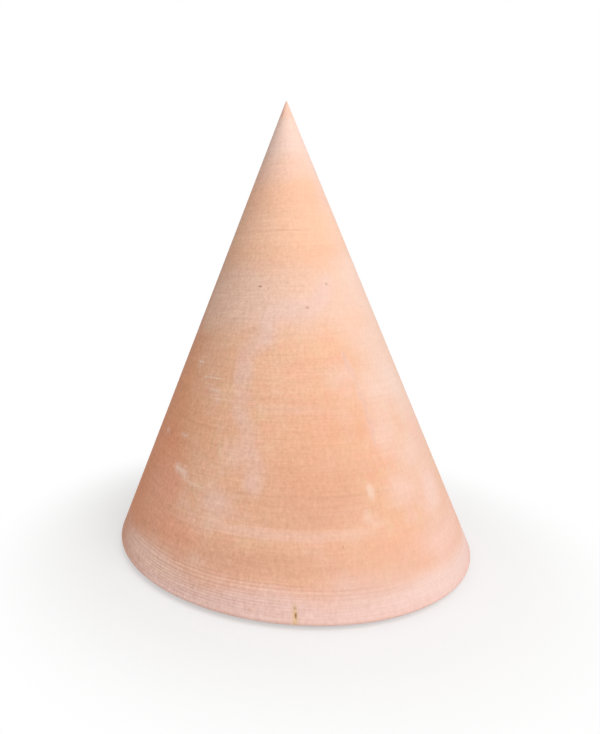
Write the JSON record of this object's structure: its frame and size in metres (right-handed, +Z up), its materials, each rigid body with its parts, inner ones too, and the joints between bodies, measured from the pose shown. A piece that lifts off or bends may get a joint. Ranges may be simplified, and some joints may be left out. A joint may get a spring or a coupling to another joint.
{
  "type": "tagine pot",
  "caption": "Unglazed terracotta tagine: a tall, straight-sided, sharp-pointed conical lid with a combed rim, seated over a shallow footed cooking dish.",
  "frame": {"origin": "centre of the dish's foot ring, on the surface that it stands on", "axes": "+Z up along the turning axis, from the foot to the lid's tip; +X and +Y are level, and the front is -Y"},
  "size_m": [0.2699, 0.27, 0.343],
  "materials": {
    "lid_clay": "unglazed, matte, fine turning lines",
    "dish_clay": "unglazed, matte, fine turning lines"
  },
  "bodies": {
    "dish": {"cooking_dish": "dish_clay"},
    "lid": {"conical_lid": "lid_clay"}
  },
  "joints": [
    {"name": "lid_lift", "type": "slide", "parent": "dish", "child": "lid", "axis": [0, 0, 1], "range_m": [0, 0.12]}
  ]
}
